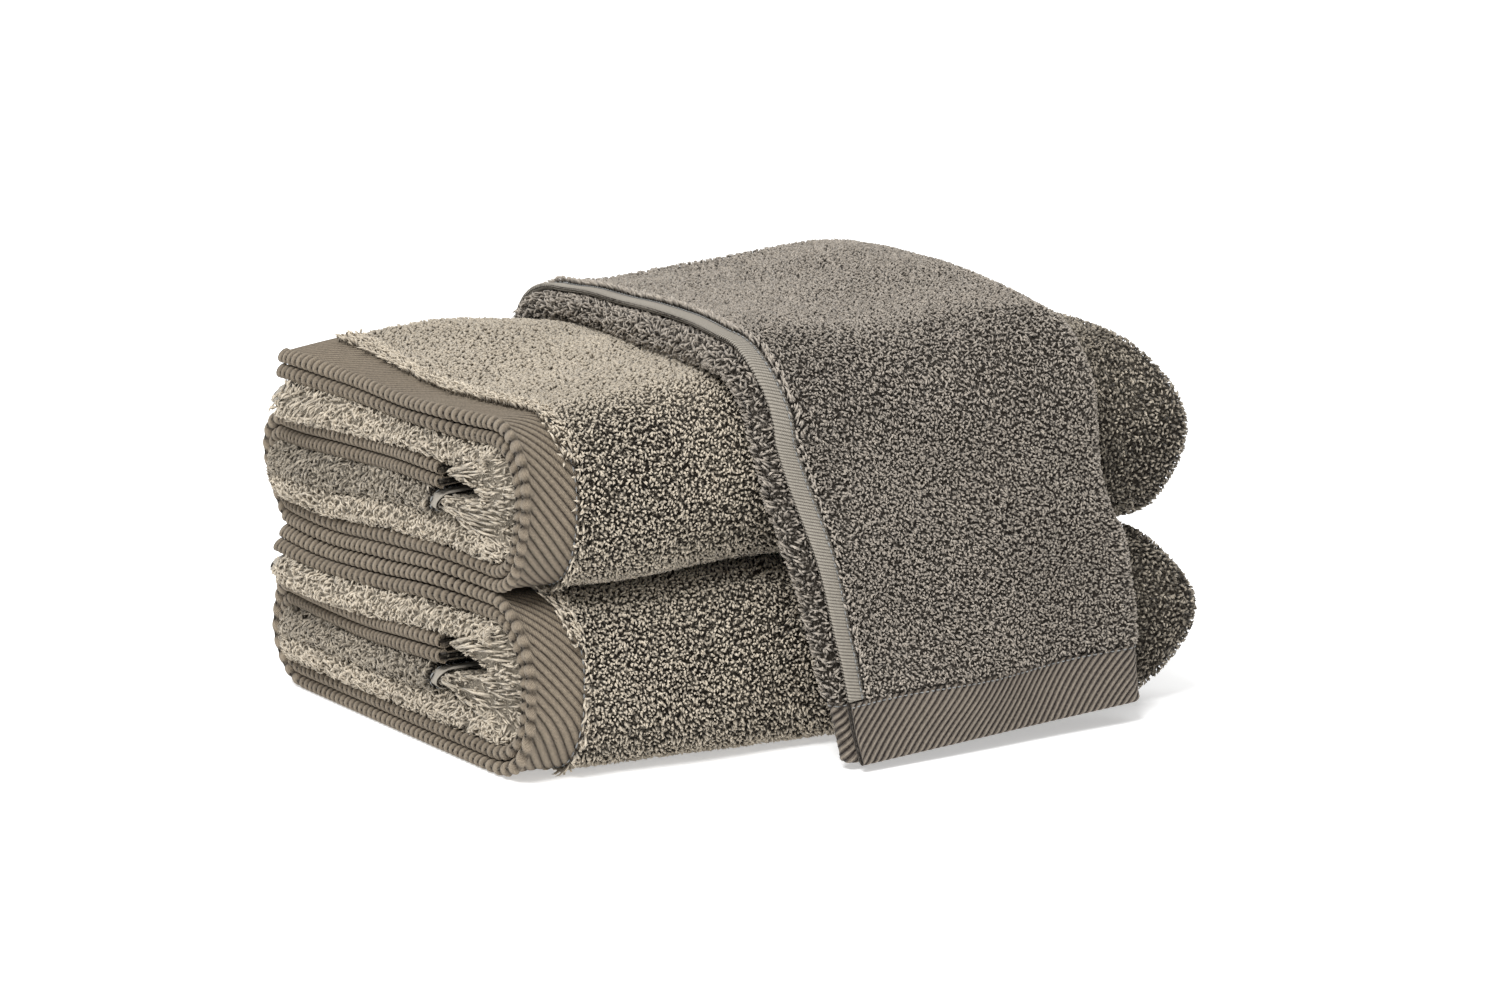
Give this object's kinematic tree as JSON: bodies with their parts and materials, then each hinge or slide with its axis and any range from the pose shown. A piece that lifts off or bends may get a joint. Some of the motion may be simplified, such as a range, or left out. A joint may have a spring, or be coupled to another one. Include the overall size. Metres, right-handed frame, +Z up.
{
  "type": "bath towel set",
  "caption": "Folded terry bath towels in a stack with a hand towel folded lengthwise and draped over them, each with twill end hems and narrow side hems.",
  "frame": {"origin": "middle of the footprint on the surface that the set rests on, footprint measured over the stack and the hand towel's tail behind it", "axes": "+Z up, +X along the bath towels towards their folded right ends, +Y from the front of the stack towards its back"},
  "size_m": [0.3535, 0.4429, 0.1895],
  "materials": {
    "bath_terry": "dense looped cotton terry, taupe, matt",
    "bath_twill": "cotton twill end hem with diagonal ribs, warm taupe",
    "side_twill": "narrow flat side hem with fine cross ribs, pale taupe",
    "hand_terry": "dense looped cotton terry, grey taupe, matt",
    "hand_twill": "cotton twill end hem with bold diagonal ribs, dark taupe",
    "seam_thread": "blue-grey cotton sewing thread"
  },
  "bodies": {
    "lower_towel": {"lower_terry": "bath_terry", "lower_outer_end_hem": "bath_twill", "lower_outer_end_seam": "seam_thread", "lower_inner_end_hem": "bath_twill", "lower_inner_end_seam": "seam_thread", "lower_inner_side_hem": "side_twill", "lower_inner_side_seam": "seam_thread", "lower_outer_side_hem": "side_twill", "lower_outer_side_seam": "seam_thread"},
    "upper_towel": {"upper_terry": "bath_terry", "upper_outer_end_hem": "bath_twill", "upper_outer_end_seam": "seam_thread", "upper_inner_end_hem": "bath_twill", "upper_inner_end_seam": "seam_thread", "upper_inner_side_hem": "side_twill", "upper_inner_side_seam": "seam_thread", "upper_outer_side_hem": "side_twill", "upper_outer_side_seam": "seam_thread"},
    "draped_towel": {"draped_terry": "hand_terry", "draped_front_end_hem": "hand_twill", "draped_front_end_seam": "seam_thread", "draped_back_end_hem": "hand_twill", "draped_back_end_seam": "seam_thread", "draped_top_side_hem": "side_twill", "draped_top_side_seam": "seam_thread", "draped_hidden_side_hem": "side_twill", "draped_hidden_side_seam": "seam_thread"}
  },
  "joints": [
    {"name": "upper_towel_lift", "type": "slide", "parent": "lower_towel", "child": "upper_towel", "axis": [0, 0, 1], "range_m": [0, 0.12]},
    {"name": "draped_towel_lift", "type": "slide", "parent": "upper_towel", "child": "draped_towel", "axis": [0, 0, 1], "range_m": [0, 0.2]}
  ]
}
